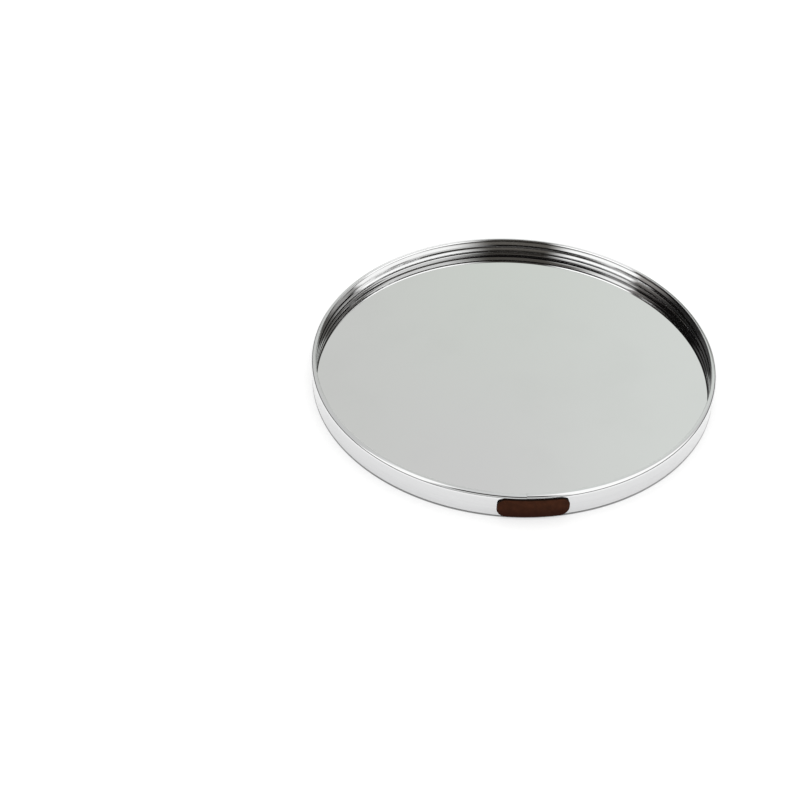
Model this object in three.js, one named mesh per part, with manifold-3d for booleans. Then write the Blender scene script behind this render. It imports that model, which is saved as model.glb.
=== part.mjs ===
// A round decorative tray. A polished aluminium strip, rolled into a hoop, grips a mirror and its backing board in a
// groove. A steel key in the strip's channel bridges the butt seam at the front, a leather tag is taped over that
// seam, and four pads under the board carry the tray.
// Millimetres, +Z up. The origin lies on the table under the middle of the hoop, and the tag faces -Y.
import * as THREE from "three";
import { mergeVertices } from "three/addons/utils/BufferGeometryUtils.js";
import Module from "manifold-3d";

const wasm = await Module();
wasm.setup();

// Rim strip
const RIM_DIAMETER = 250;
const RIM_HEIGHT = 16.2;
const WEB_THICKNESS = 1.2; // outer wall, behind the groove and the channel
const CHANNEL_DEPTH = 1.1; // room for the key behind the outer wall
const CHEEK_THICKNESS = 0.65; // inner wall beside the channel, under the lip
const WALL_LEAN = 0.55; // how much further in the inner wall stands at the mirror than under the lip
const LIP_ROUND = 2.9; // from the outer face over to the top
const LIP_BROW = 0.35; // from the top over to the lip's inner side
const LIP_SIDE = 1.3; // from the top down to the end of the lip's inner side
const LIP_OVERHANG = 0.35; // how far the lip stands in over the inner wall
const LIP_SLANT = 0.4; // from the lip's inner side down to where the inner wall starts
const LIP_DEPTH = 2.8; // solid metal from the top of the lip down to the channel
const BEAD_LINE_MIDDLE = 10.45; // shallow groove along the inner wall, between its two bands
const BEAD_LINE_HEIGHT = 2;
const BEAD_LINE_DEPTH = 0.35;
const FLANGE_THICKNESS = 1; // shelf under the board, and shelf over the mirror
const FLANGE_REACH = 5; // from the outer face to the edge of the lower shelf
const EDGE_RADIUS = 0.5; // rounded lower outer edge

// Butt seam and the key behind it
const SEAM_GAP = 0.3;
const SEAM_OFFSET = 3.9; // along the rim from the middle of the tag, towards -X
const KEY_LENGTH = 44;
const KEY_CLEARANCE = 0.15; // between the key and the channel, all round

// Panels in the groove
const MIRROR_THICKNESS = 3;
const BOARD_THICKNESS = 2.5;
const PANEL_CLEARANCE = 0.3; // between a panel's edge and the bottom of the groove
const SEAT_CLEARANCE = 0.1; // under the board, and over the mirror
const GLUE_FILM = 0.1; // wherever two pieces are stuck together

// Leather tag and its tape
const TAG_LENGTH = 41; // along the rim
const TAG_HEIGHT = 12.5;
const TAG_MIDDLE = 7.05; // over the lower edge of the rim
const TAG_THICKNESS = 1;
const TAG_CORNER = 5.6;
const TAPE_THICKNESS = 0.15;
const TAPE_INSET = 1.5; // from the edge of the tag to the edge of the tape

// Pads
const PAD_COUNT = 4;
const PAD_DIAMETER = 12;
const PAD_THICKNESS = 1.8;
const PAD_MARGIN = 8; // from the lower shelf to the edge of a pad

// Facets: sides of a full turn of the hoop, steps of a quarter round, sides of a pad
const HOOP_SIDES = 120;
const ROUND_STEPS = 4;
const PAD_SIDES = 32;

// Heights over the lower edge of the rim, and radii, that follow from the sizes above
const rimRadius = RIM_DIAMETER / 2;
const wallWidth = WEB_THICKNESS + CHANNEL_DEPTH + CHEEK_THICKNESS;
const lipWidth = wallWidth + LIP_OVERHANG;
const footWidth = wallWidth + WALL_LEAN;
const boardBottom = FLANGE_THICKNESS + SEAT_CLEARANCE;
const mirrorBottom = boardBottom + BOARD_THICKNESS + GLUE_FILM;
const mirrorTop = mirrorBottom + MIRROR_THICKNESS;
const grooveTop = mirrorTop + SEAT_CLEARANCE;
const channelBottom = grooveTop + FLANGE_THICKNESS;
const channelTop = RIM_HEIGHT - LIP_DEPTH;
const lipBottom = RIM_HEIGHT - LIP_SIDE;
const wallTop = lipBottom - LIP_SLANT;
const panelRadius = rimRadius - WEB_THICKNESS - PANEL_CLEARANCE;
const tapeRadius = rimRadius + GLUE_FILM;
const tagRadius = tapeRadius + TAPE_THICKNESS + GLUE_FILM;
const padTop = boardBottom - GLUE_FILM;
const rimLift = PAD_THICKNESS - padTop; // the lower edge of the rim over the table
const padCircle = rimRadius - FLANGE_REACH - PAD_MARGIN - PAD_DIAMETER / 2;
const seamAngle = -SEAM_OFFSET / rimRadius;

// Turns an outline of radius and height round the Z axis. Its first facet starts at -Y.
function turned(outline) {
  return new THREE.LatheGeometry(outline, HOOP_SIDES).rotateX(Math.PI / 2);
}

// A plain band round the Z axis.
function band(innerRadius, outerRadius, bottom, top) {
  const outline = new THREE.Path()
    .moveTo(innerRadius, bottom)
    .lineTo(outerRadius, bottom)
    .lineTo(outerRadius, top)
    .lineTo(innerRadius, top)
    .lineTo(innerRadius, bottom);
  return turned(outline.getPoints());
}

// A flat disc on the XY plane.
function disc(radius, thickness, sides) {
  return new THREE.CylinderGeometry(radius, radius, thickness, sides)
    .rotateX(Math.PI / 2)
    .translate(0, 0, thickness / 2);
}

// A block of the given width that reaches from the Z axis past the rim, turned from -Y by an angle.
function frontBlock(width, angle) {
  return new THREE.BoxGeometry(width, RIM_DIAMETER, RIM_DIAMETER)
    .translate(0, -RIM_DIAMETER / 2, 0)
    .rotateZ(angle);
}

// A bar that reaches from the Z axis past the rim towards -Y. Its section is a rectangle with round corners, at the
// height of the tag.
function roundedBar(length, height, corner) {
  const x = length / 2;
  const y = height / 2;
  const radius = Math.min(corner, x, y);
  const quarter = Math.PI / 2;
  const outline = new THREE.Shape()
    .absarc(x - radius, y - radius, radius, 0, quarter)
    .absarc(radius - x, y - radius, radius, quarter, 2 * quarter)
    .absarc(radius - x, radius - y, radius, 2 * quarter, 3 * quarter)
    .absarc(x - radius, radius - y, radius, 3 * quarter, 4 * quarter);
  return new THREE.ExtrudeGeometry(outline, {
    depth: RIM_DIAMETER,
    bevelEnabled: false,
    curveSegments: ROUND_STEPS,
  })
    .rotateX(Math.PI / 2)
    .translate(0, 0, TAG_MIDDLE);
}

// A closed geometry as a solid that can be cut.
function solidOf(geometry) {
  const bare = geometry.clone();
  bare.deleteAttribute("normal");
  bare.deleteAttribute("uv");
  const merged = mergeVertices(bare);
  return new wasm.Manifold(
    new wasm.Mesh({
      numProp: 3,
      vertProperties: merged.attributes.position.array,
      triVerts: new Uint32Array(merged.index.array),
    }),
  );
}

// A solid as a geometry again.
function geometryOf(solid) {
  const { vertProperties, triVerts } = solid.getMesh();
  const geometry = new THREE.BufferGeometry();
  geometry.setAttribute("position", new THREE.BufferAttribute(vertProperties, 3));
  geometry.setIndex(new THREE.BufferAttribute(triVerts, 1));
  geometry.computeVertexNormals();
  return geometry;
}

// How far in from the outer face the leaning inner wall stands at a height.
function wallDepth(height) {
  return wallWidth + (WALL_LEAN * (wallTop - height)) / (wallTop - grooveTop);
}

// The section of the rim strip, as radius and height: outer face, rounded lip, inner wall with its bead line, then
// the groove that takes the panels.
function rimOutline() {
  const web = rimRadius - WEB_THICKNESS;
  const shelf = rimRadius - FLANGE_REACH;
  const lipInside = rimRadius - lipWidth;
  const lineTop = BEAD_LINE_MIDDLE + BEAD_LINE_HEIGHT / 2;
  const lineBottom = BEAD_LINE_MIDDLE - BEAD_LINE_HEIGHT / 2;
  const lineControl = rimRadius - wallDepth(BEAD_LINE_MIDDLE) + 2 * BEAD_LINE_DEPTH;
  const quarter = Math.PI / 2;
  return new THREE.Path()
    .moveTo(shelf, 0)
    .lineTo(rimRadius - EDGE_RADIUS, 0)
    .absarc(rimRadius - EDGE_RADIUS, EDGE_RADIUS, EDGE_RADIUS, -quarter, 0)
    .absarc(rimRadius - LIP_ROUND, RIM_HEIGHT - LIP_ROUND, LIP_ROUND, 0, quarter)
    .absarc(lipInside + LIP_BROW, RIM_HEIGHT - LIP_BROW, LIP_BROW, quarter, 2 * quarter)
    .lineTo(lipInside, lipBottom)
    .lineTo(rimRadius - wallWidth, wallTop)
    .lineTo(rimRadius - wallDepth(lineTop), lineTop)
    .quadraticCurveTo(lineControl, BEAD_LINE_MIDDLE, rimRadius - wallDepth(lineBottom), lineBottom)
    .lineTo(rimRadius - footWidth, grooveTop)
    .lineTo(web, grooveTop)
    .lineTo(web, FLANGE_THICKNESS)
    .lineTo(shelf, FLANGE_THICKNESS)
    .lineTo(shelf, 0)
    .getPoints(ROUND_STEPS);
}

// The hoop, hollow along its channel and cut open at its butt seam.
function rimGeometry() {
  const web = rimRadius - WEB_THICKNESS;
  const hoop = solidOf(turned(rimOutline()));
  const channel = solidOf(band(web - CHANNEL_DEPTH, web, channelBottom, channelTop));
  const seam = solidOf(frontBlock(SEAM_GAP, seamAngle));
  return geometryOf(hoop.subtract(channel).subtract(seam));
}

// The mirror. Its top is parted into the open face and the ring that the inner wall stands over.
function mirrorGeometry() {
  const openRadius = rimRadius - footWidth - PANEL_CLEARANCE;
  const outline = new THREE.Path()
    .moveTo(0, 0)
    .lineTo(panelRadius, 0)
    .lineTo(panelRadius, MIRROR_THICKNESS)
    .lineTo(openRadius, MIRROR_THICKNESS)
    .lineTo(0, MIRROR_THICKNESS);
  return turned(outline.getPoints());
}

// The strip in the channel, across the seam.
function keyGeometry() {
  const outer = rimRadius - WEB_THICKNESS - KEY_CLEARANCE;
  const inner = rimRadius - WEB_THICKNESS - CHANNEL_DEPTH + KEY_CLEARANCE;
  const ring = solidOf(band(inner, outer, channelBottom + KEY_CLEARANCE, channelTop - KEY_CLEARANCE));
  return geometryOf(ring.intersect(solidOf(frontBlock(KEY_LENGTH, seamAngle))));
}

// A plate that follows the outer face of the rim, with round corners.
function wrappedPlate(radius, thickness, length, height, corner) {
  const ring = solidOf(band(radius, radius + thickness, 0, RIM_HEIGHT));
  return geometryOf(ring.intersect(solidOf(roundedBar(length, height, corner))));
}

// A named mesh with its own finish, in a group, at a height.
function place(parent, name, geometry, finish, height = 0) {
  const mesh = new THREE.Mesh(geometry, new THREE.MeshStandardMaterial(finish));
  mesh.name = name;
  mesh.position.z = height;
  parent.add(mesh);
  return mesh;
}

const polishedAluminium = { color: 0xdcdddd, metalness: 1, roughness: 0.12 };
const springSteel = { color: 0x8f9194, metalness: 1, roughness: 0.4 };
const silveredGlass = { color: 0xd3d6d3, metalness: 1, roughness: 0.03 };
const hardboard = { color: 0x4a3526, metalness: 0, roughness: 0.75 };
const brownLeather = { color: 0x3a2119, metalness: 0, roughness: 0.6 };
const whiteTape = { color: 0xe6e4de, metalness: 0, roughness: 0.8 };
const blackFoam = { color: 0x1c1c1d, metalness: 0, roughness: 0.9 };

const tray = new THREE.Group();

// Everything that the pads lift off the table
const body = new THREE.Group();
body.position.z = rimLift;
tray.add(body);
place(body, "rim_hoop", rimGeometry(), polishedAluminium);
place(body, "joint_key", keyGeometry(), springSteel);
place(body, "backing_board", disc(panelRadius, BOARD_THICKNESS, HOOP_SIDES), hardboard, boardBottom);
place(body, "mirror_plate", mirrorGeometry(), silveredGlass, mirrorBottom);
const tapeLength = TAG_LENGTH - 2 * TAPE_INSET;
const tapeHeight = TAG_HEIGHT - 2 * TAPE_INSET;
const tapeCorner = Math.max(TAG_CORNER - TAPE_INSET, TAPE_THICKNESS);
const tapeGeometry = wrappedPlate(tapeRadius, TAPE_THICKNESS, tapeLength, tapeHeight, tapeCorner);
place(body, "tag_tape", tapeGeometry, whiteTape);
const tagGeometry = wrappedPlate(tagRadius, TAG_THICKNESS, TAG_LENGTH, TAG_HEIGHT, TAG_CORNER);
place(body, "leather_tag", tagGeometry, brownLeather);

// Pads on the table, half-way between the axes
for (let i = 0; i < PAD_COUNT; i++) {
  const angle = ((i + 0.5) * 2 * Math.PI) / PAD_COUNT;
  const pad = place(tray, `foot_pad_${i + 1}`, disc(PAD_DIAMETER / 2, PAD_THICKNESS, PAD_SIDES), blackFoam);
  pad.position.x = padCircle * Math.cos(angle);
  pad.position.y = padCircle * Math.sin(angle);
}

export default tray;
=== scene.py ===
"""Looks of a round mirror tray: polished hoop, mirror on a board, and leather tag over the hoop's seam.

Every length is in metres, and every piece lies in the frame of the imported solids: +Z up, the origin on the
table under the middle of the hoop, and the tag towards -Y. Turns round the hoop start at -Y and grow
towards +X.
"""

import logging
import math
from dataclasses import dataclass, field
from enum import Enum

import bpy
import numpy as np
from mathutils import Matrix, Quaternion, Vector
from mathutils.geometry import tessellate_polygon


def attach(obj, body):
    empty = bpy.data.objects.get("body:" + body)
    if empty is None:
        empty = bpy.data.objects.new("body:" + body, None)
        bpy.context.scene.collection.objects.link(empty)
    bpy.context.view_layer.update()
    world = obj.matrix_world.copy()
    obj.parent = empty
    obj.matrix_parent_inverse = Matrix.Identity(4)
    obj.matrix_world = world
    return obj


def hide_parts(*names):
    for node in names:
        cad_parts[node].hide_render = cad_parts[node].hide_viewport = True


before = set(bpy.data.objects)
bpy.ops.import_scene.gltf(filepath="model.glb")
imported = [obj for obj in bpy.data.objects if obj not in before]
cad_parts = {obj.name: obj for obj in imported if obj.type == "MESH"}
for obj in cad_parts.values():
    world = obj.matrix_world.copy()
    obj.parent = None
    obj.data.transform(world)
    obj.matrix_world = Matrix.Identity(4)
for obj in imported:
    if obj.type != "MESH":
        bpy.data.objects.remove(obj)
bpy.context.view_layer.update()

LOG = logging.getLogger("tray")
MM = 0.001
BODY = "root"
BURNISH = "burnish"
Range = tuple[float, float]
Triple = tuple[float, float, float]
Colour = Triple


class Signal:
    """An output socket that takes part in arithmetic: each operator adds a Math node to its graph."""

    def __init__(self, graph: "Graph", socket: bpy.types.NodeSocket) -> None:
        """Keeps the socket and the graph that new nodes go into."""
        self.graph = graph
        self.socket = socket

    def __add__(self, other: "Signal | float") -> "Signal":
        """Adds a number or another signal."""
        return self.graph.math("ADD", self, other)

    def __sub__(self, other: "Signal | float") -> "Signal":
        """Takes a number or another signal away."""
        return self.graph.math("SUBTRACT", self, other)

    def __rsub__(self, other: float) -> "Signal":
        """Takes the signal away from a number."""
        return self.graph.math("SUBTRACT", other, self)

    def __mul__(self, other: "Signal | float") -> "Signal":
        """Multiplies by a number or another signal."""
        return self.graph.math("MULTIPLY", self, other)

    def __abs__(self) -> "Signal":
        """Drops the sign."""
        return self.graph.math("ABSOLUTE", self)

    __radd__ = __add__
    __rmul__ = __mul__

    def blend(self, other: "Signal", share: float) -> "Signal":
        """Adds a share of this signal and the rest of another one."""
        return self * share + other * (1 - share)


class Graph:
    """A node tree that is filled by calls."""

    def __init__(self, tree: bpy.types.NodeTree) -> None:
        """Starts from an empty tree."""
        tree.nodes.clear()
        self.tree = tree

    def node(self, kind: str, settings: dict | None = None, inputs: dict | None = None) -> bpy.types.Node:
        """Adds a node.

        Args:
            kind: the node's type, without the common start of the type names.
            settings: the node's own properties, which are set first.
            inputs: values or signals by the name or identifier of the input socket.

        Returns:
            The new node.
        """
        node = self.tree.nodes.new("ShaderNode" + kind)
        for key, value in (settings or {}).items():
            setattr(node, key, value)
        for key, value in (inputs or {}).items():
            socket = next(s for s in node.inputs if key in (s.identifier, s.name))
            if isinstance(value, Signal):
                self.tree.links.new(value.socket, socket)
            else:
                socket.default_value = value
        return node

    def signal(
        self, output: str, kind: str, settings: dict | None = None, inputs: dict | None = None
    ) -> Signal:
        """Adds a node, as node does, and gives its output of that name or identifier."""
        node = self.node(kind, settings, inputs)
        return Signal(self, next(s for s in node.outputs if output in (s.identifier, s.name)))

    def math(self, operation: str, *operands: Signal | float) -> Signal:
        """Adds a Math node whose operands are numbers or signals, in the order of its sockets."""
        names = ("Value", "Value_001")
        return self.signal("Value", "Math", {"operation": operation}, dict(zip(names, operands)))

    def ramp(self, value: Signal, low: float, high: float) -> Signal:
        """Rises smoothly from 0 at low to 1 at high, which may be the smaller one."""
        limits = {"Value": value, "From Min": low, "From Max": high}
        return self.signal("Result", "MapRange", {"interpolation_type": "SMOOTHSTEP"}, limits)

    def mix(self, factor: Signal, first: Signal | Colour, second: Signal | Colour) -> Signal:
        """Mixes two colours: the first where the factor is 0, the second where it is 1."""
        inputs = {"Factor_Float": factor, "A_Color": opaque(first), "B_Color": opaque(second)}
        return self.signal("Result_Color", "Mix", {"data_type": "RGBA"}, inputs)

    def place(self, source: str, scale: Triple = (1.0, 1.0, 1.0)) -> Signal:
        """Gives an output of the Texture Coordinate node, scaled along its axes."""
        raw = self.signal(source, "TexCoord")
        return self.signal("Vector", "Mapping", {}, {"Vector": raw, "Scale": scale})

    def coordinate(self, where: Signal, axis: str) -> Signal:
        """Gives one coordinate of a place."""
        return self.signal(axis, "SeparateXYZ", {}, {"Vector": where})

    def dot(self, where: Signal, axis: Triple) -> Signal:
        """Gives the dot product of a direction and a fixed axis."""
        vectors = {"Vector": where, "Vector_001": axis}
        return self.signal("Value", "VectorMath", {"operation": "DOT_PRODUCT"}, vectors)

    def cells(self, where: Signal, scale: float) -> Signal:
        """Gives the distance to the middle of the nearest cell of a Voronoi pattern."""
        return self.signal("Distance", "TexVoronoi", {}, {"Vector": where, "Scale": scale})

    def noise(self, where: Signal, scale: float = 1.0, detail: float = 3.0) -> Signal:
        """Gives soft noise around one half, by its waves in a unit and its octaves of detail."""
        return self.signal("Fac", "TexNoise", {}, {"Vector": where, "Scale": scale, "Detail": detail})

    def bump(self, height: Signal, depth: float) -> Signal:
        """Gives normals tilted by a relief, whose height from 0 to 1 stands for a real depth."""
        return self.signal("Normal", "Bump", {}, {"Height": height, "Distance": depth, "Strength": 1.0})


def opaque(colour: Signal | Colour) -> Signal | tuple[float, float, float, float]:
    """Adds an alpha of one to a plain colour; a signal stays as it is."""
    return colour if isinstance(colour, Signal) else (*colour, 1.0)


@dataclass(frozen=True)
class Finish:
    """A finish that is painted by its own nodes."""

    name: str

    def paint(self, graph: Graph) -> dict:
        """Gives the inputs of the surface shader.

        Args:
            graph: where the nodes go.

        Returns:
            Values and signals by socket name.
        """
        raise NotImplementedError

    def material(self) -> bpy.types.Material:
        """Makes the material.

        Returns:
            A material whose nodes are those of paint, under one surface shader.
        """
        material = bpy.data.materials.new(self.name)
        material.use_nodes = True
        graph = Graph(material.node_tree)
        surface = graph.signal("BSDF", "BsdfPrincipled", {}, self.paint(graph))
        graph.node("OutputMaterial", {}, {"Surface": surface})
        return material


@dataclass(frozen=True)
class PolishedAluminium(Finish):
    """Rolled and polished strip: long faint drawing lines that follow the strip."""

    name: str = "polished_aluminium"
    light: Colour = (0.765, 0.768, 0.771)
    dull: Colour = (0.725, 0.728, 0.732)
    # The face colour is painted shade: it darkens the outer face so that the floor's reflection in it is
    # dimmer.
    face: Colour = (0.69, 0.693, 0.697)
    face_end: float = 17.5 * MM
    face_fade: float = 1.0 * MM
    roughness: float = 0.055
    haze: float = 0.045
    line_scale: Triple = (6.0, 2600.0, 1.0)
    line_range: Range = (0.35, 0.75)
    line_share: float = 0.6
    patch_scale: Triple = (30.0, 400.0, 1.0)
    patch_range: Range = (0.4, 0.8)
    detail: float = 2.0

    def paint(self, graph: Graph) -> dict:
        """Dulls the strip a little along fine lines and in broad patches; its outer face is darkened as a
        whole, a painted shade that dims the floor's reflection in it.

        Args:
            graph: see Finish.

        Returns:
            See Finish.
        """
        lines = graph.noise(graph.place("UV", self.line_scale), detail=self.detail)
        patches = graph.noise(graph.place("UV", self.patch_scale), detail=self.detail)
        drawn = graph.ramp(lines, *self.line_range)
        worn = graph.ramp(patches, *self.patch_range)
        wear = drawn.blend(worn, self.line_share)
        across = graph.coordinate(graph.place("UV"), "Y")
        # Painted shade, from the shelf's underside up the outer face to face_end along the section.
        face_shade_mask = graph.ramp(across, self.face_end + self.face_fade, self.face_end)
        return {
            "Base Color": graph.mix(wear, graph.mix(face_shade_mask, self.light, self.face), self.dull),
            "Roughness": self.roughness + self.haze * wear,
            "Metallic": 1.0,
        }


@dataclass(frozen=True)
class MirrorSilver(Finish):
    """Silvered face, clean but for a faint film."""

    name: str = "mirror_silver"
    clear: Colour = (0.81, 0.81, 0.81)
    filmed: Colour = (0.79, 0.79, 0.79)
    roughness: float = 0.012
    haze: float = 0.03
    film_scale: float = 22.0
    film_detail: float = 4.0
    film_range: Range = (0.45, 0.8)

    def paint(self, graph: Graph) -> dict:
        """Lays a broad film over the mirror, which dims it slightly and softens what it shows.

        Args:
            graph: see Finish.

        Returns:
            See Finish.
        """
        clouds = graph.noise(graph.place("Object"), self.film_scale, self.film_detail)
        film = graph.ramp(clouds, *self.film_range)
        return {
            "Base Color": graph.mix(film, self.clear, self.filmed),
            "Roughness": self.roughness + self.haze * film,
            "Metallic": 1.0,
        }


@dataclass(frozen=True)
class BrownLeather(Finish):
    """Dark brown leather with a fine pebble grain and a burnished edge."""

    name: str = "brown_leather"
    high: Colour = (0.056, 0.0178, 0.0076)
    low: Colour = (0.03, 0.0092, 0.0037)
    edge: Colour = (0.009, 0.0036, 0.0022)
    # Painted shade: the tag's lower part is darkened towards this colour, fully at the lower height and not
    # at all above the upper one.
    painted_low_shade: Colour = (0.02, 0.0048, 0.0026)
    full_shade_height: float = 3.0 * MM
    unshaded_height: float = 11.5 * MM
    shade_share: float = 0.75
    pebble_scale: float = 2600.0
    pebble_range: Range = (0.05, 0.75)
    pebble_share: float = 0.7
    fine_scale: float = 6240.0
    cloud_scale: float = 260.0
    cloud_detail: float = 5.0
    cloud_range: Range = (0.3, 0.72)
    cloud_share: float = 0.65
    grain_depth: float = 0.05 * MM
    roughness: float = 0.62
    polish: float = 0.12
    gloss: float = 0.03

    def paint(self, graph: Graph) -> dict:
        """Makes pebbles of Voronoi cells, varies the dye by clouds, darkens the edge, and darkens the lower
        part with painted shade.

        Args:
            graph: see Finish.

        Returns:
            See Finish.
        """
        place = graph.place("Object")
        pebbles = 1.0 - graph.ramp(graph.cells(place, self.pebble_scale), *self.pebble_range)
        clouds = graph.ramp(graph.noise(place, self.cloud_scale, self.cloud_detail), *self.cloud_range)
        fine = graph.noise(place, self.fine_scale)
        burnish = graph.signal("Fac", "Attribute", {"attribute_name": BURNISH})
        dyed = graph.mix(clouds.blend(pebbles, self.cloud_share), self.low, self.high)
        height = graph.coordinate(place, "Z")
        low_shade_mask = graph.ramp(height, self.unshaded_height, self.full_shade_height) * self.shade_share
        return {
            "Base Color": graph.mix(burnish, graph.mix(low_shade_mask, dyed, self.painted_low_shade), self.edge),
            "Roughness": self.roughness - self.polish * pebbles - self.polish * burnish,
            "Normal": graph.bump(pebbles.blend(fine, self.pebble_share), self.grain_depth),
            "Specular IOR Level": self.gloss,
        }


@dataclass(frozen=True)
class Hardboard(Finish):
    """Brown pressed board with fibres and a fine screen print on its face."""

    name: str = "pressed_hardboard"
    pale: Colour = (0.13, 0.072, 0.036)
    dark: Colour = (0.058, 0.031, 0.017)
    fibre_scale: Triple = (900.0, 260.0, 600.0)
    fibre_detail: float = 6.0
    fibre_share: float = 0.6
    fleck_scale: float = 420.0
    fleck_detail: float = 4.0
    tone_range: Range = (0.35, 0.68)
    screen_scale: float = 620.0
    screen_share: float = 0.7
    relief_depth: float = 0.12 * MM
    roughness: float = 0.7
    haze: float = 0.15

    def paint(self, graph: Graph) -> dict:
        """Makes fibres of stretched noise, and the screen of two crossed waves.

        Args:
            graph: see Finish.

        Returns:
            See Finish.
        """
        place = graph.place("Object")
        fibres = graph.noise(graph.place("Object", self.fibre_scale), detail=self.fibre_detail)
        flecks = graph.noise(place, self.fleck_scale, self.fleck_detail)
        inputs = {"Vector": place, "Scale": self.screen_scale}
        waves = [graph.signal("Fac", "TexWave", {"bands_direction": axis}, inputs) for axis in ("X", "Y")]
        relief = (waves[0] * waves[1]).blend(fibres, self.screen_share)
        tone = graph.ramp(fibres.blend(flecks, self.fibre_share), *self.tone_range)
        return {
            "Base Color": graph.mix(tone, self.dark, self.pale),
            "Roughness": self.roughness + self.haze * tone,
            "Normal": graph.bump(relief, self.relief_depth),
        }


@dataclass(frozen=True)
class FoamRubber(Finish):
    """Black foam with small open cells."""

    name: str = "foam_rubber"
    skin: Colour = (0.018, 0.018, 0.019)
    # Painted shade in the sunken middles of the cells.
    pit_shade: Colour = (0.006, 0.006, 0.0065)
    cell_scale: float = 3200.0
    cell_range: Range = (0.1, 0.5)
    cell_depth: float = 0.06 * MM
    roughness: float = 0.82
    haze: float = 0.1

    def paint(self, graph: Graph) -> dict:
        """Sinks the middles of a fine Voronoi pattern and darkens them with painted shade.

        Args:
            graph: see Finish.

        Returns:
            See Finish.
        """
        walls = graph.ramp(graph.cells(graph.place("Object"), self.cell_scale), *self.cell_range)
        return {
            "Base Color": graph.mix(walls, self.pit_shade, self.skin),
            "Roughness": self.roughness + self.haze * walls,
            "Normal": graph.bump(walls, self.cell_depth),
        }


@dataclass(frozen=True)
class SpringSteel(Finish):
    """Grey rolled steel with lines along the strip."""

    name: str = "rolled_spring_steel"
    bright: Colour = (0.36, 0.37, 0.38)
    dull: Colour = (0.24, 0.245, 0.25)
    line_scale: Triple = (40.0, 40.0, 3000.0)
    roughness: float = 0.3
    haze: float = 0.2

    def paint(self, graph: Graph) -> dict:
        """Makes rolling lines of noise that is short across the strip's height and long round it.

        Args:
            graph: see Finish.

        Returns:
            See Finish.
        """
        lines = graph.noise(graph.place("Object", self.line_scale))
        return {
            "Base Color": graph.mix(lines, self.dull, self.bright),
            "Roughness": self.roughness + self.haze * lines,
            "Metallic": 1.0,
        }


@dataclass(frozen=True)
class FoamTape(Finish):
    """White double-sided tape, a little uneven."""

    name: str = "white_tape"
    white: Colour = (0.78, 0.77, 0.74)
    shade: Colour = (0.66, 0.65, 0.62)
    tone_scale: float = 900.0
    tone_detail: float = 4.0
    roughness: float = 0.7
    haze: float = 0.15

    def paint(self, graph: Graph) -> dict:
        """Shades the tape by soft noise.

        Args:
            graph: see Finish.

        Returns:
            See Finish.
        """
        tone = graph.noise(graph.place("Object"), self.tone_scale, self.tone_detail)
        return {
            "Base Color": graph.mix(tone, self.shade, self.white),
            "Roughness": self.roughness + self.haze * tone,
        }


@dataclass(frozen=True)
class PaleFloor(Finish):
    """Plain pale floor of the studio, lit through from below but for a round dark middle under the tray,
    which is a painted contact shadow.
    """

    name: str = "pale_floor"
    colour: Colour = (0.5, 0.5, 0.5)
    glow: Colour = (0.55, 0.55, 0.55)
    # The dark colour within the radius below is a painted contact shadow under the tray's edge.
    dark: Colour = (0.0, 0.0, 0.0)
    shadow_radius: float = 124.15 * MM
    edge: float = 0.7 * MM

    def paint(self, graph: Graph) -> dict:
        """Gives one pale colour without gloss, and light that starts at a distance from the middle; the
        unlit middle is a painted contact shadow.

        Args:
            graph: see Finish.

        Returns:
            See Finish.
        """
        far = graph.signal("Value", "VectorMath", {"operation": "LENGTH"}, {"Vector": graph.place("Object")})
        lit = graph.ramp(far, self.shadow_radius, self.shadow_radius + self.edge)
        return {
            "Base Color": opaque(self.colour),
            "Roughness": 1.0,
            "Specular IOR Level": 0.0,
            "Emission Color": graph.mix(lit, self.dark, self.glow),
            "Emission Strength": 1.0,
        }


@dataclass
class Surface:
    """Points, the faces between them, and values that belong to the points."""

    points: np.ndarray
    faces: list[np.ndarray]
    flats: list[np.ndarray] = field(default_factory=list)
    chart: np.ndarray | None = None
    values: dict[str, np.ndarray] = field(default_factory=dict)

    def object(self, name: str) -> bpy.types.Object:
        """Makes the object in the scene.

        Args:
            name: the object's name.

        Returns:
            A mesh object at the origin, smooth-shaded but for the flat faces.
        """
        groups = self.faces + self.flats
        corners = np.concatenate([f.ravel() for f in groups]).astype(np.int32)
        sides = np.concatenate([np.full(len(f), f.shape[1]) for f in groups])
        smooth = np.arange(len(sides)) < sum(len(f) for f in self.faces)
        starts = np.concatenate([[0], np.cumsum(sides)[:-1]]).astype(np.int32)
        mesh = bpy.data.meshes.new(name)
        mesh.vertices.add(len(self.points))
        mesh.vertices.foreach_set("co", self.points.astype(np.float32).ravel())
        mesh.loops.add(len(corners))
        mesh.loops.foreach_set("vertex_index", corners)
        mesh.polygons.add(len(sides))
        mesh.polygons.foreach_set("loop_start", starts)
        mesh.polygons.foreach_set("use_smooth", smooth)
        if self.chart is not None:
            layer = mesh.uv_layers.new(name="strip")
            layer.data.foreach_set("uv", self.chart[corners].astype(np.float32).ravel())
        for key, value in self.values.items():
            attribute = mesh.attributes.new(key, "FLOAT", "POINT")
            attribute.data.foreach_set("value", value.astype(np.float32))
        mesh.update(calc_edges=True)
        mesh.validate()
        made = bpy.data.objects.new(name, mesh)
        bpy.context.scene.collection.objects.link(made)
        return made


def grid_quads(rows: int, columns: int, closed: bool = False) -> np.ndarray:
    """Gives the quads of a grid of points that is stored row by row.

    The quad at (i, j) joins the points (i, j), (i, j + 1), (i + 1, j + 1) and (i + 1, j).

    Args:
        rows: rows of points.
        columns: points in a row.
        closed: whether the last column joins the first one.

    Returns:
        An array of four point numbers for each quad.
    """
    i = np.arange(rows - 1)[:, None]
    j = np.arange(columns if closed else columns - 1)[None, :]
    k = (j + 1) % columns
    corners = (i * columns + j, i * columns + k, (i + 1) * columns + k, (i + 1) * columns + j)
    return np.stack(np.broadcast_arrays(*corners), axis=-1).reshape(-1, 4)


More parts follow.
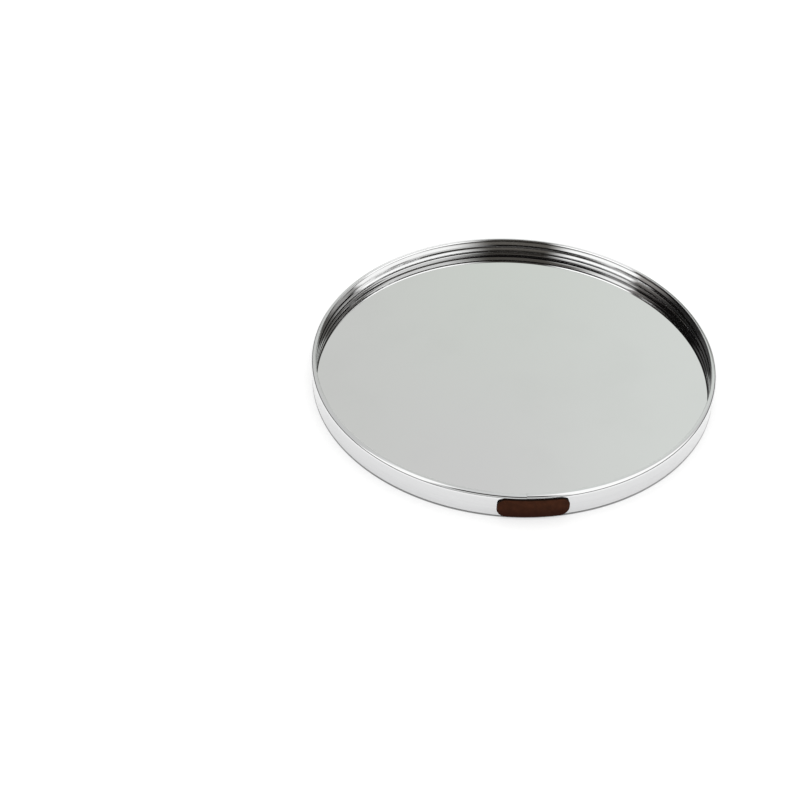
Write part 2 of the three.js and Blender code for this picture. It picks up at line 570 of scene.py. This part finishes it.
def around(radius: np.ndarray, turn: np.ndarray, height: np.ndarray) -> np.ndarray:
    """Gives points round the Z axis: (r sin t, -r cos t, z) for radius r, turn t and height z."""
    return np.stack(np.broadcast_arrays(radius * np.sin(turn), -radius * np.cos(turn), height), axis=-1)


def spread(count: int) -> np.ndarray:
    """Gives numbers from -1 to 1, closer together at the ends: the sines of evenly spaced angles."""
    return np.sin(np.linspace(-0.5, 0.5, count) * math.pi)


def round_corners(corners: np.ndarray, radii: np.ndarray, steps: int, support: float) -> np.ndarray:
    """Rounds each corner of a closed outline with its own radius.

    A corner with unit directions a and b to its neighbours, phi apart, becomes an arc round the point on its
    bisector at radius / sin(phi / 2). The arc is a spherical blend between its two ends, which lie at
    radius / tan(phi / 2).

    Args:
        corners: the outline's corners, two numbers each.
        radii: the radius at each corner.
        steps: points of each arc.
        support: distance of one more point on the straight before and after each arc.

    Returns:
        The points of the rounded outline, in the same direction.
    """
    before = np.roll(corners, 1, axis=0) - corners
    after = np.roll(corners, -1, axis=0) - corners
    before /= np.linalg.norm(before, axis=1, keepdims=True)
    after /= np.linalg.norm(after, axis=1, keepdims=True)
    half = np.arccos(np.clip((before * after).sum(axis=1), -1, 1))[:, None] / 2
    reach = radii[:, None] / np.tan(half)
    bisector = before + after
    bisector /= np.linalg.norm(bisector, axis=1, keepdims=True)
    centre = corners + bisector * radii[:, None] / np.sin(half)
    first = corners + before * reach
    last = corners + after * reach
    turn = (math.pi - 2 * half)[:, :, None]
    share = np.linspace(0, 1, steps)[None, :, None]
    from_first = np.sin((1 - share) * turn) * (first - centre)[:, None]
    from_last = np.sin(share * turn) * (last - centre)[:, None]
    arcs = centre[:, None] + (from_first + from_last) / np.sin(turn)
    lead = (first + before * support)[:, None]
    tail = (last + after * support)[:, None]
    return np.concatenate([lead, arcs, tail], axis=1).reshape(-1, 2)


def along(outline: np.ndarray) -> np.ndarray:
    """Gives the distance along a closed outline from its first point to each one and back to it."""
    closed = np.concatenate([outline, outline[:1]])
    return np.concatenate([[0], np.cumsum(np.linalg.norm(np.diff(closed, axis=0), axis=1))])


def thin(outline: np.ndarray, gap: float) -> np.ndarray:
    """Keeps one point of a closed outline in each stretch that is as long as the gap."""
    stretch = np.floor(along(outline)[:-1] / gap)
    return outline[np.unique(stretch, return_index=True)[1]]


def subdivide(outline: np.ndarray, spacing: float) -> np.ndarray:
    """Adds points on the long straights of a closed outline.

    Of evenly spaced places along the outline, those within a third of the spacing of a point are left out.

    Args:
        outline: points of the outline.
        spacing: distance between the points that are added.

    Returns:
        The outline's points with the added ones between them.
    """
    closed = np.concatenate([outline, outline[:1]])
    travelled = along(outline)
    even = np.arange(0, travelled[-1], spacing)
    near = np.abs(even[:, None] - travelled[None, :]).min(axis=1)
    places = np.sort(np.concatenate([travelled[:-1], even[near > spacing / 3]]))
    return np.stack([np.interp(places, travelled, closed[:, axis]) for axis in (0, 1)], axis=1)


def turned(outline: np.ndarray, steps: int) -> Surface:
    """Turns an open outline of radius and height, whose ends lie on the axis, all the way round the Z axis.

    The rings are evenly spaced turns of each point. The two ends are single points, joined to the first and
    last rings by triangles.

    Args:
        outline: radius and height, from the bottom of the axis to its top.
        steps: points round the axis.

    Returns:
        The closed surface, facing outwards.
    """
    turns = np.linspace(0, 2 * math.pi, steps, endpoint=False)
    rings = around(outline[1:-1, 0][:, None], turns, outline[1:-1, 1][:, None])
    count = len(outline) - 2
    poles = np.array([[0, 0, outline[0, 1]], [0, 0, outline[-1, 1]]])
    points = np.concatenate([rings.reshape(-1, 3), poles])
    ring = np.arange(steps)
    following = (ring + 1) % steps
    bottom = np.stack([following, ring, np.full(steps, count * steps)], axis=1)
    top_start = (count - 1) * steps
    top = np.stack([top_start + ring, top_start + following, np.full(steps, count * steps + 1)], axis=1)
    return Surface(points, [grid_quads(count, steps, closed=True), bottom, top])


def rounded_disc(
    radius: float, bottom: float, top: float, edge: float, steps: int, support: float, arc_steps: int = 6
) -> Surface:
    """Makes a flat disc with rounded edges.

    Args:
        radius: outer radius.
        bottom: height of the lower face.
        top: height of the upper face.
        edge: radius of the two edges.
        steps: points round the disc.
        support: see round_corners.
        arc_steps: points of each edge's arc.

    Returns:
        The closed disc.
    """
    corners = np.array([[-radius, bottom], [radius, bottom], [radius, top], [-radius, top]])
    outline = round_corners(corners, np.full(4, edge), arc_steps, support)
    right = outline[len(outline) // 4 : 3 * len(outline) // 4]
    ends = np.array([[0, bottom], [0, top]])
    return turned(np.concatenate([ends[:1], right, ends[1:]]), steps)


def add_piece(name: str, surface: Surface, finish: Finish, slot: str, *nodes: str) -> None:
    """Puts a piece into the scene.

    Args:
        name: the piece's name.
        surface: its shape.
        finish: its finish.
        slot: the record's material slot; not used.
        nodes: the solids that it stands for.
    """
    piece = surface.object(name)
    piece.data.materials.append(finish.material())
    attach(piece, BODY)
    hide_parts(*nodes)
    LOG.info("%s: %d faces for %s", name, len(piece.data.polygons), ", ".join(nodes))


def dress_node(node: str, finish: Finish) -> None:
    """Gives a solid that stays as it is its finish.

    Args:
        node: the solid's name.
        finish: its finish.
    """
    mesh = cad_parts[node].data
    mesh.materials.clear()
    mesh.materials.append(finish.material())
    LOG.info("%s: solid kept", node)


@dataclass
class RimHoop:
    """The strip that is rolled into a hoop, its seam at the front. Heights are over its lower edge."""

    radius: float = 125 * MM
    height: float = 16.2 * MM
    lift: float = 0.8 * MM
    draft: float = 0.6 * MM
    edge_round: float = 0.7 * MM
    fine_round: float = 0.03 * MM
    lip_round: float = 2.6 * MM
    lip_fall: float = 0.45 * MM
    lip_width: float = 3.3 * MM
    brow_round: float = 0.4 * MM
    chin_height: float = 14.8 * MM
    chin_round: float = 0.1 * MM
    wall_top: float = 14.0 * MM
    wall_start: float = 2.94 * MM
    wall_margin: float = 0.1 * MM
    upper_lean: float = 0.125
    lower_lean: float = 0.05
    foot_height: float = 6.3 * MM
    foot_rise: float = 0.75 * MM
    foot_cut: float = 0.36 * MM
    foot_round: float = 0.3 * MM
    bead_middle: float = 10.15 * MM
    bead_rise: float = 1.35 * MM
    bead_fall: float = 1.15 * MM
    bead_depth: float = 0.54 * MM
    bead_round: float = 0.5 * MM
    bead_line_round: float = 0.1 * MM
    lower_step: float = 0.18 * MM
    band_crown: float = 0.04 * MM
    web: float = 1.2 * MM
    shelf_thickness: float = 1.0 * MM
    shelf_reach: float = 5.0 * MM
    shelf_round: float = 0.2 * MM
    groove_round: float = 0.1 * MM
    channel_depth: float = 1.1 * MM
    channel_low: float = 7.8 * MM
    channel_high: float = 13.4 * MM
    die_line_height: float = 6.6 * MM
    die_line_width: float = 0.3 * MM
    die_line_depth: float = 0.05 * MM
    seam_offset: float = 3.9 * MM
    seam_gap: float = 0.08 * MM
    end_edge: float = 0.03 * MM
    end_drop: float = 0.5 * MM
    end_reach: float = 16 * MM
    steps: int = 560
    arc_steps: int = 12
    arc_gap: float = 0.04 * MM
    support: float = 0.05 * MM
    spacing: float = 1.2 * MM
    finish: PolishedAluminium = PolishedAluminium()

    def face_depth(self, height: float) -> float:
        """Gives how far the outer face stands back at a height; it leans in towards the lower edge."""
        return self.draft * (1 - height / self.height)

    def wall_depth(self, height: float) -> float:
        """Gives how far in from the outer face the inner wall stands at a height.

        Args:
            height: the height; below the bead line the wall steps back and leans less.

        Returns:
            The depth.
        """
        below = max(self.bead_middle - height, 0)
        upper = self.wall_start + self.upper_lean * (self.wall_top - height - below)
        return upper + (self.lower_lean * below - self.lower_step if below else 0)

    def outline(self) -> np.ndarray:
        """Gives the strip's section as depth in from the outer face and height, closed.

        The corners are rounded, each with its own radius, and the foot is cut back under the wall. Between
        lip, bead line and foot the wall's two bands are crowned by a parabola.

        Returns:
            The points, from the lower shelf outwards, up the outer face, over the lip and down the wall.
        """
        upper = self.bead_middle + self.bead_rise
        lower = self.bead_middle - self.bead_fall
        foot = self.foot_height + self.foot_rise
        line = self.die_line_height
        half_line = self.die_line_width / 2
        table = [
            (self.shelf_reach, 0, self.shelf_round),
            (self.face_depth(0), 0, self.edge_round),
            (self.face_depth(line - half_line), line - half_line, self.fine_round),
            (self.face_depth(line) + self.die_line_depth, line, self.fine_round),
            (self.face_depth(line + half_line), line + half_line, self.fine_round),
            (0, self.height - self.lip_fall, self.lip_round),
            (self.lip_width, self.height, self.brow_round),
            (self.lip_width, self.chin_height, self.chin_round),
            (self.wall_start, self.wall_top, self.chin_round),
            (self.wall_depth(upper), upper, self.bead_round),
            (self.wall_depth(self.bead_middle) - self.bead_depth, self.bead_middle, self.bead_line_round),
            (self.wall_depth(lower), lower, self.bead_round),
            (self.wall_depth(foot), foot, self.foot_round),
            (self.wall_depth(foot) - self.foot_cut, self.foot_height, self.fine_round),
            (self.web, self.foot_height, self.groove_round),
            (self.web, self.shelf_thickness, self.groove_round),
            (self.shelf_reach, self.shelf_thickness, self.shelf_round),
        ]
        corners = np.array(table)
        rounded = round_corners(corners[:, :2], corners[:, 2], self.arc_steps, self.support)
        points = subdivide(thin(rounded, self.arc_gap), self.spacing)
        inner = points[:, 0] > self.wall_start - self.wall_margin
        for low, high in ((foot, lower), (upper, self.wall_top)):
            share = (points[:, 1] - low) / (high - low)
            crown = self.band_crown * 4 * np.clip(share * (1 - share), 0, None)
            points[:, 0] += np.where(inner, crown, 0)
        return points

    def channel(self) -> np.ndarray:
        """Gives the outline of the hollow for the key.

        Returns:
            Depth and height of its corners, the other way round than the section's.
        """
        far = self.web + self.channel_depth
        low, high = self.channel_low, self.channel_high
        return np.array([[self.web, low], [far, low], [far, high], [self.web, high]])

    def swept(self, outline: np.ndarray) -> tuple[np.ndarray, np.ndarray]:
        """Carries an outline round the hoop, from the seam's one end to the other.

        The outline point (d, h) lies at radius R - d and height lift + h - drop. The drop is a bell curve of
        the distance to the far end, so that the two ends don't quite meet.

        Args:
            outline: depth and height.

        Returns:
            The points, row by row, and their chart of distances along the strip and along the outline.
        """
        start = (self.seam_gap / 2 - self.seam_offset) / self.radius
        end = 2 * math.pi - (self.seam_gap / 2 + self.seam_offset) / self.radius
        edge = self.end_edge / self.radius
        between = np.linspace(start + edge, end - edge, self.steps - 2)
        turns = np.concatenate([[start], between, [end]])[:, None]
        reach = (end - turns) * self.radius
        drop = self.end_drop * np.exp(-((reach / self.end_reach) ** 2))
        points = around(self.radius - outline[None, :, 0], turns, self.lift + outline[None, :, 1] - drop)
        chart = np.stack(np.broadcast_arrays(turns * self.radius, along(outline)[None, :-1]), axis=-1)
        return points.reshape(-1, 3), chart.reshape(-1, 2)

    def surface(self) -> Surface:
        """Joins the swept section, the swept channel and the two end faces.

        Returns:
            The closed strip.
        """
        outer = self.outline()
        hollow = self.channel()
        skin, skin_chart = self.swept(outer)
        bore, bore_chart = self.swept(hollow)
        shift = len(skin)
        section = [[Vector((*p, 0)) for p in ring] for ring in (outer, hollow)]
        face = np.array(tessellate_polygon(section))
        count = len(outer)
        in_bore = face >= count
        first = np.where(in_bore, face - count + shift, face)
        last_row = self.steps - 1
        last = np.where(in_bore, face - count + shift + last_row * len(hollow), face + last_row * count)
        sides = grid_quads(self.steps, count, closed=True)[:, ::-1]
        inside = grid_quads(self.steps, len(hollow), closed=True)[:, ::-1] + shift
        chart = np.concatenate([skin_chart, bore_chart])
        return Surface(np.concatenate([skin, bore]), [sides], [inside, first, last[:, ::-1]], chart)

    def build(self) -> None:
        """Puts the strip into the scene, and dresses the key in its channel."""
        add_piece("rim_strip", self.surface(), self.finish, "rim_metal", "rim_hoop")
        dress_node("joint_key", SpringSteel())


@dataclass
class Base:
    """The panels that the hoop grips, and the pads under them."""

    panel_radius: float = 123.5 * MM
    mirror_low: float = 4.5 * MM
    mirror_high: float = 7.0 * MM
    arris: float = 0.25 * MM
    board_low: float = 1.9 * MM
    board_high: float = 4.4 * MM
    board_round: float = 0.3 * MM
    pad_radius: float = 6.0 * MM
    pad_height: float = 1.8 * MM
    pad_round: float = 0.35 * MM
    pad_circle: float = 106.0 * MM
    pad_count: int = 4
    steps: int = 512
    pad_steps: int = 72
    support: float = 0.05 * MM

    def panel(self, low: float, high: float, edge: float) -> Surface:
        """Makes a disc that the hoop grips, between two heights and with edges of a radius."""
        return rounded_disc(self.panel_radius, low, high, edge, self.steps, self.support)

    def pad(self, number: int) -> Surface:
        """Makes one pad.

        Args:
            number: the pad's number, from 0, counted from between +X and +Y towards +Y.

        Returns:
            The pad in its place.
        """
        shape = rounded_disc(
            self.pad_radius, 0, self.pad_height, self.pad_round, self.pad_steps, self.support
        )
        turn = (number + 0.5) * 2 * math.pi / self.pad_count
        shape.points += np.array([self.pad_circle * math.cos(turn), self.pad_circle * math.sin(turn), 0])
        return shape

    def build(self) -> None:
        """Puts the mirror, the board and the pads into the scene."""
        mirror = self.panel(self.mirror_low, self.mirror_high, self.arris)
        add_piece("mirror_disc", mirror, MirrorSilver(), "mirror_glass", "mirror_plate")
        board = self.panel(self.board_low, self.board_high, self.board_round)
        add_piece("board_disc", board, Hardboard(), "hardboard", "backing_board")
        for number in range(self.pad_count):
            pad = self.pad(number)
            add_piece(f"pad_{number + 1}", pad, FoamRubber(), "pad_foam", f"foot_pad_{number + 1}")


@dataclass
class Tag:
    """The leather tag over the seam, and the tape behind it."""

    radius: float = 125.35 * MM
    middle: float = 8.6 * MM
    length: float = 41.3 * MM
    height: float = 13.2 * MM
    corner: float = 5.6 * MM
    thickness: float = 1.0 * MM
    edge_round: float = 0.4 * MM
    dome: float = 0.12 * MM
    burnish_width: float = 0.45 * MM
    columns: int = 181
    rows: int = 81
    finish: BrownLeather = BrownLeather()

    def inset(self, x: np.ndarray, z: np.ndarray) -> np.ndarray:
        """Gives the distance from points of the tag's flat outline to its edge.

        That is the usual distance to a rectangle with round corners: the corner's radius less the length of
        the part of (|x|, |z|) that lies beyond the corner's centre, plus what is left where both lie
        before it.

        Args:
            x: distance along the tag from its middle.
            z: distance up the tag from its middle.

        Returns:
            The distance, 0 on the edge.
        """
        over_x = np.abs(x) - (self.length / 2 - self.corner)
        over_z = np.abs(z) - (self.height / 2 - self.corner)
        beyond = np.hypot(np.maximum(over_x, 0), np.maximum(over_z, 0))
        within = np.minimum(np.maximum(over_x, over_z), 0)
        return self.corner - beyond - within

    def surface(self) -> Surface:
        """Makes the tag as a front and a back sheet on one grid, joined by a wall along their border.

        Column u and row v, both from -1 to 1 and closer together at the ends, lie at x = u L / 2 and
        z = v h(x), where h falls from half the height to the corner's end along a circle. The front rises
        from the border along a quarter round and then a low dome; x is laid round the rim.

        Returns:
            The closed tag.
        """
        x = spread(self.columns)[None, :] * self.length / 2
        beyond = np.clip(np.abs(x) - (self.length / 2 - self.corner), 0, self.corner)
        reach = self.height / 2 - self.corner + np.sqrt(self.corner**2 - beyond**2)
        z = spread(self.rows)[:, None] * reach
        x = np.broadcast_to(x, z.shape)
        inset = np.clip(self.inset(x, z), 0, None)
        short = np.clip(self.edge_round - inset, 0, None)
        roll = np.sqrt(self.edge_round**2 - short**2) - self.edge_round
        dome = self.dome * (1 - np.exp(-inset / (2 * self.edge_round)))
        front = self.radius + self.thickness - self.dome + dome + roll
        back = np.full_like(front, self.radius)
        turn = x / (self.radius + self.thickness)
        sheets = [around(radius, turn, self.middle + z) for radius in (front, back)]
        quads = grid_quads(self.rows, self.columns)
        numbers = np.arange(self.rows * self.columns).reshape(self.rows, self.columns)
        border = np.concatenate([numbers[0, :-1], numbers[:-1, -1], numbers[-1, :0:-1], numbers[:0:-1, 0]])
        following = np.roll(border, -1)
        shift = numbers.size
        wall = np.stack([following, border, border + shift, following + shift], axis=1)
        burnish = 1 - np.clip(inset / self.burnish_width, 0, 1)
        burnish = (burnish**2 * (3 - 2 * burnish)).ravel()
        values = {BURNISH: np.concatenate([burnish, np.ones(shift)])}
        points = np.concatenate([s.reshape(-1, 3) for s in sheets])
        return Surface(points, [quads, quads[:, ::-1] + shift, wall], values=values)

    def build(self) -> None:
        """Puts the tag into the scene, and dresses the tape."""
        add_piece("tag_leather", self.surface(), self.finish, "tag_leather", "leather_tag")
        dress_node("tag_tape", FoamTape())


class Reach(Enum):
    """How a panel's bearings are read: on its own side only, or alike on both sides."""

    ONE_SIDE = 0
    BOTH_SIDES = 1


@dataclass(frozen=True)
class Span:
    """Two limits in degrees, each with the width of its soft edge."""

    low: float
    high: float
    low_soft: float = 8.0
    high_soft: float = 8.0

    def mask(self, graph: Graph, value: Signal) -> Signal:
        """Gives 1 between the limits and 0 outside; half of a soft edge lies on either side of its limit.

        Args:
            graph: where the nodes go.
            value: the angle that is tested.

        Returns:
            The mask.
        """
        rising = graph.ramp(value, self.low - self.low_soft / 2, self.low + self.low_soft / 2)
        falling = graph.ramp(value, self.high + self.high_soft / 2, self.high - self.high_soft / 2)
        return rising * falling


@dataclass(frozen=True)
class Panel:
    """A soft-edged part of the room round the tray, and the light from it."""

    bearing: Span
    rise: Span
    light: Colour
    reach: Reach = Reach.ONE_SIDE


# No bearing or rise comes near this angle, so it leaves a span open at one end.
OPEN = 400.0
AHEAD = Span(-40, 40)
WALL = Span(-20, 74)
LEFT_LAMP = Span(-157, -109, 18, 6)
RIGHT_LAMP = Span(76, 150, 8, 30)
BRIGHT_STRIP = Span(33, 38.5, 3, 3)
NEAR_LAMP: Colour = (1.3, 1.3, 1.29)
LOW_SHADE: Colour = (0.05, 0.047, 0.044)
PALE_SCREEN: Colour = (0.95, 0.95, 0.94)


@dataclass
class Studio:
    """Floor, light and camera. Bearings start straight ahead of the camera and grow to its right."""

    sensor: float = 36.0
    lens: float = 63.0
    camera_place: Triple = (-94.87 * MM, -664.91 * MM, 570.37 * MM)
    camera_aim: Triple = (-70.62 * MM, -23.62 * MM, 0.8 * MM)
    camera_roll: float = 0.185
    floor_reach: float = 40.0
    backdrop: Colour = (1.0, 1.0, 1.0)
    dome_low: Colour = (0.86, 0.86, 0.87)
    dome_high: Colour = (1.35, 1.35, 1.34)
    dome_bearing: float = 20.0
    dome_rise: float = 60.0
    dome_range: Range = (-0.2, 1.0)
    far_depth: float = 2.5
    near_walls: Colour = (0.7, 0.705, 0.7)
    near_panels: tuple[Panel, ...] = (
        # Ceiling, and the wall ahead with its shades
        Panel(Span(-OPEN, OPEN), Span(61, OPEN, 10), (0.78, 0.79, 0.79)),
        Panel(AHEAD, WALL, (0.716, 0.716, 0.714)),
        Panel(AHEAD, Span(-20, 41, 8, 12), (0.715, 0.752, 0.708)),
        Panel(Span(-40, -6, 8, 10), WALL, (0.69, 0.7, 0.682)),
        Panel(Span(4, 40, 14), WALL, (0.785, 0.815, 0.787)),
        # A bright and a dark patch low on that wall
        Panel(Span(-14, 11, 6, 3), Span(8, 30, 8, 3), (1.25, 1.25, 1.25)),
        Panel(Span(11, 30, 3), Span(18, 30, 4, 3), (0.12, 0.115, 0.11)),
        # Lamps at the left and the right
        Panel(Span(-142, -72, 8, 24), Span(60, 76, 8, 6), NEAR_LAMP),
        Panel(Span(-142, -101, 8, 10), Span(14, 66), NEAR_LAMP),
        Panel(Span(70, 146, 14), Span(12, 78, 8, 6), NEAR_LAMP),
        # Dark behind the camera, and low down at both sides
        Panel(Span(150, OPEN, 8), Span(36, 60), (0.03, 0.026, 0.022), Reach.BOTH_SIDES),
        Panel(Span(30, 152), Span(-10, 14, 6, 5), LOW_SHADE, Reach.BOTH_SIDES),
        Panel(Span(148, OPEN), Span(-10, 6.5, 6, 3), LOW_SHADE, Reach.BOTH_SIDES),
    )
    far_walls: Colour = (0.005, 0.0046, 0.0044)
    far_panels: tuple[Panel, ...] = (
        # The wall ahead, and dim parts at its left and right
        Panel(Span(-16, 60), Span(30, 74, 6), (0.71, 0.73, 0.71)),
        Panel(Span(-90, -40, 10), Span(24, 35, 6, 6), (0.028, 0.028, 0.027)),
        Panel(Span(-48, -14, 10), Span(28, 38, 6, 3), (0.085, 0.085, 0.083)),
        Panel(Span(-34, -10, 10), Span(38, 50, 3), (0.1, 0.1, 0.098)),
        Panel(Span(18, 80, 12), Span(24, 62, 6), (0.125, 0.12, 0.113)),
        Panel(Span(48, 80, 14), Span(26, 35.5, 4, 5), (0.46, 0.455, 0.445)),
        # The dim near edge of the left lamp
        Panel(Span(-115, -92, 6, 32), Span(17, 62, 4), (0.19, 0.18, 0.17)),
        Panel(Span(-115, -94, 6, 32), Span(17, 30, 4), (0.46, 0.44, 0.42)),
        Panel(Span(-104, -92, 6, 32), Span(44, 62), (0.3, 0.285, 0.27)),
        # Dim walls behind the camera
        Panel(Span(125, OPEN), Span(16, 57, 4, 12), (0.1, 0.093, 0.082), Reach.BOTH_SIDES),
        Panel(Span(140, OPEN), Span(17, 30, 4), (0.15, 0.14, 0.125), Reach.BOTH_SIDES),
        Panel(Span(150, OPEN), Span(36, 43, 4, 4), (0.035, 0.032, 0.028), Reach.BOTH_SIDES),
        # The left lamp
        Panel(LEFT_LAMP, Span(17, 42, 4, 22), (1.55, 1.55, 1.54)),
        Panel(Span(-132, -100, 30, 5), Span(43, 62, 8, 6), (1.4, 1.4, 1.39)),
        Panel(Span(-132, -113, 12, 6), Span(4, 14, 4, 4), (0.35, 0.345, 0.34)),
        # The right lamp, with light and shade at its near edge
        Panel(Span(76, 143, 8, 36), Span(17.5, 70, 4), PALE_SCREEN),
        Panel(RIGHT_LAMP, Span(17.5, 36, 4, 8), (1.48, 1.48, 1.47)),
        Panel(Span(64, 90, 6, 20), Span(46.5, 60, 4, 6), PALE_SCREEN),
        Panel(Span(42, 80, 10, 12), Span(50, 66, 4), (1.25, 1.25, 1.24)),
        Panel(Span(70, 86, 6, 6), Span(51.5, 62.5, 3, 3), (0.45, 0.445, 0.44)),
        Panel(Span(52, 88, 10, 12), Span(39, 45, 3, 3), (0.2, 0.195, 0.19)),
        # Low down at the right
        Panel(Span(97, 145, 14, 30), Span(-5, 15, 8, 4), (0.1, 0.095, 0.09)),
        Panel(Span(80, 96, 8, 6), Span(4.5, 10, 2, 3), (1.2, 1.2, 1.19)),
        Panel(Span(94, 108, 6, 10), Span(0.5, 5, 3, 2), (0.9, 0.9, 0.89)),
        # Narrow bright strips
        Panel(Span(48, 80, 20, 8), Span(35.8, 38.6, 2, 2), (1.0, 1.0, 0.99)),
        Panel(LEFT_LAMP, BRIGHT_STRIP, (1.9, 1.9, 1.89)),
        Panel(RIGHT_LAMP, BRIGHT_STRIP, (1.8, 1.8, 1.79)),
    )

    def floor(self) -> None:
        """Lays the floor, a plain square."""
        corners = np.array([[-1, -1, 0], [1, -1, 0], [1, 1, 0], [-1, 1, 0]]) * self.floor_reach
        piece = Surface(corners, [np.array([[0, 1, 2, 3]])]).object("floor")
        piece.data.materials.append(PaleFloor().material())

    def camera(self) -> None:
        """Sets the camera where the photograph was taken from."""
        data = bpy.data.cameras.new("camera")
        data.sensor_width = self.sensor
        data.lens = self.lens
        camera = bpy.data.objects.new("camera", data)
        bpy.context.scene.collection.objects.link(camera)
        ahead = Vector(self.camera_aim) - Vector(self.camera_place)
        roll = Quaternion(ahead.normalized(), math.radians(-self.camera_roll))
        camera.rotation_mode = "QUATERNION"
        camera.rotation_quaternion = roll @ ahead.to_track_quat("-Z", "Y")
        camera.location = self.camera_place
        bpy.context.scene.camera = camera

    def room(
        self, graph: Graph, walls: Colour, panels: tuple[Panel, ...], bearing: Signal, rise: Signal
    ) -> Signal | Colour:
        """Lays panels over plain walls, each over those before it.

        Args:
            graph: where the nodes go.
            walls: the light from the walls.
            panels: the panels.
            bearing: the bearing of a direction, in degrees.
            rise: its rise, in degrees.

        Returns:
            The light from that direction.
        """
        light: Signal | Colour = walls
        for panel in panels:
            side = abs(bearing) if panel.reach is Reach.BOTH_SIDES else bearing
            mask = panel.bearing.mask(graph, side) * panel.rise.mask(graph, rise)
            light = graph.mix(mask, light, panel.light)
        return light

    def direction(self, bearing: float, rise: float) -> Triple:
        """Gives the unit vector of a bearing and a rise.

        For rise r, and b the bearing plus the camera's own, it is (cos r sin b, cos r cos b, sin r).

        Args:
            bearing: in degrees.
            rise: in degrees.

        Returns:
            The vector.
        """
        turn = math.radians(bearing) + math.atan2(-self.camera_place[0], -self.camera_place[1])
        level = math.cos(math.radians(rise))
        return (level * math.sin(turn), level * math.cos(turn), math.sin(math.radians(rise)))

    def light(self) -> None:
        """Fills the world: a soft dome for matt surfaces, two rooms for what shines, and a pale backdrop.

        A single reflection, which has a ray depth of 2 here, shows the near room, and what is reflected more
        than once shows the far room.
        """
        world = bpy.data.worlds.new("studio")
        world.use_nodes = True
        bpy.context.scene.world = world
        graph = Graph(world.node_tree)
        way = graph.signal("Generated", "TexCoord")
        ahead = graph.dot(way, self.direction(0, 0))
        right = graph.dot(way, self.direction(90, 0))
        up = graph.dot(way, self.direction(0, 90))
        lamp = graph.dot(way, self.direction(self.dome_bearing, self.dome_rise))
        bearing = graph.math("ARCTAN2", right, ahead) * math.degrees(1)
        rise = graph.math("ARCSINE", up) * math.degrees(1)
        near = self.room(graph, self.near_walls, self.near_panels, bearing, rise)
        far = self.room(graph, self.far_walls, self.far_panels, bearing, rise)
        dome = graph.mix(graph.ramp(lamp, *self.dome_range), self.dome_low, self.dome_high)
        glossy = graph.signal("Is Glossy Ray", "LightPath")
        seen = graph.signal("Is Camera Ray", "LightPath")
        again = graph.math("GREATER_THAN", graph.signal("Ray Depth", "LightPath"), self.far_depth)
        lit = graph.mix(seen, graph.mix(glossy, dome, graph.mix(again, near, far)), self.backdrop)
        background = graph.signal("Background", "Background", {}, {"Color": lit, "Strength": 1.0})
        graph.node("OutputWorld", {}, {"Surface": background})

    def build(self) -> None:
        """Sets up floor, camera, light and the plain view of colours."""
        self.floor()
        self.camera()
        self.light()
        bpy.context.scene.view_settings.view_transform = "Standard"


def main() -> None:
    """Builds the tray from its sub-assemblies, then the studio round it."""
    logging.basicConfig(level=logging.INFO, format="%(message)s")
    for part in (RimHoop(), Base(), Tag(), Studio()):
        part.build()
    bpy.context.view_layer.update()


if __name__ == "__main__":
    main()
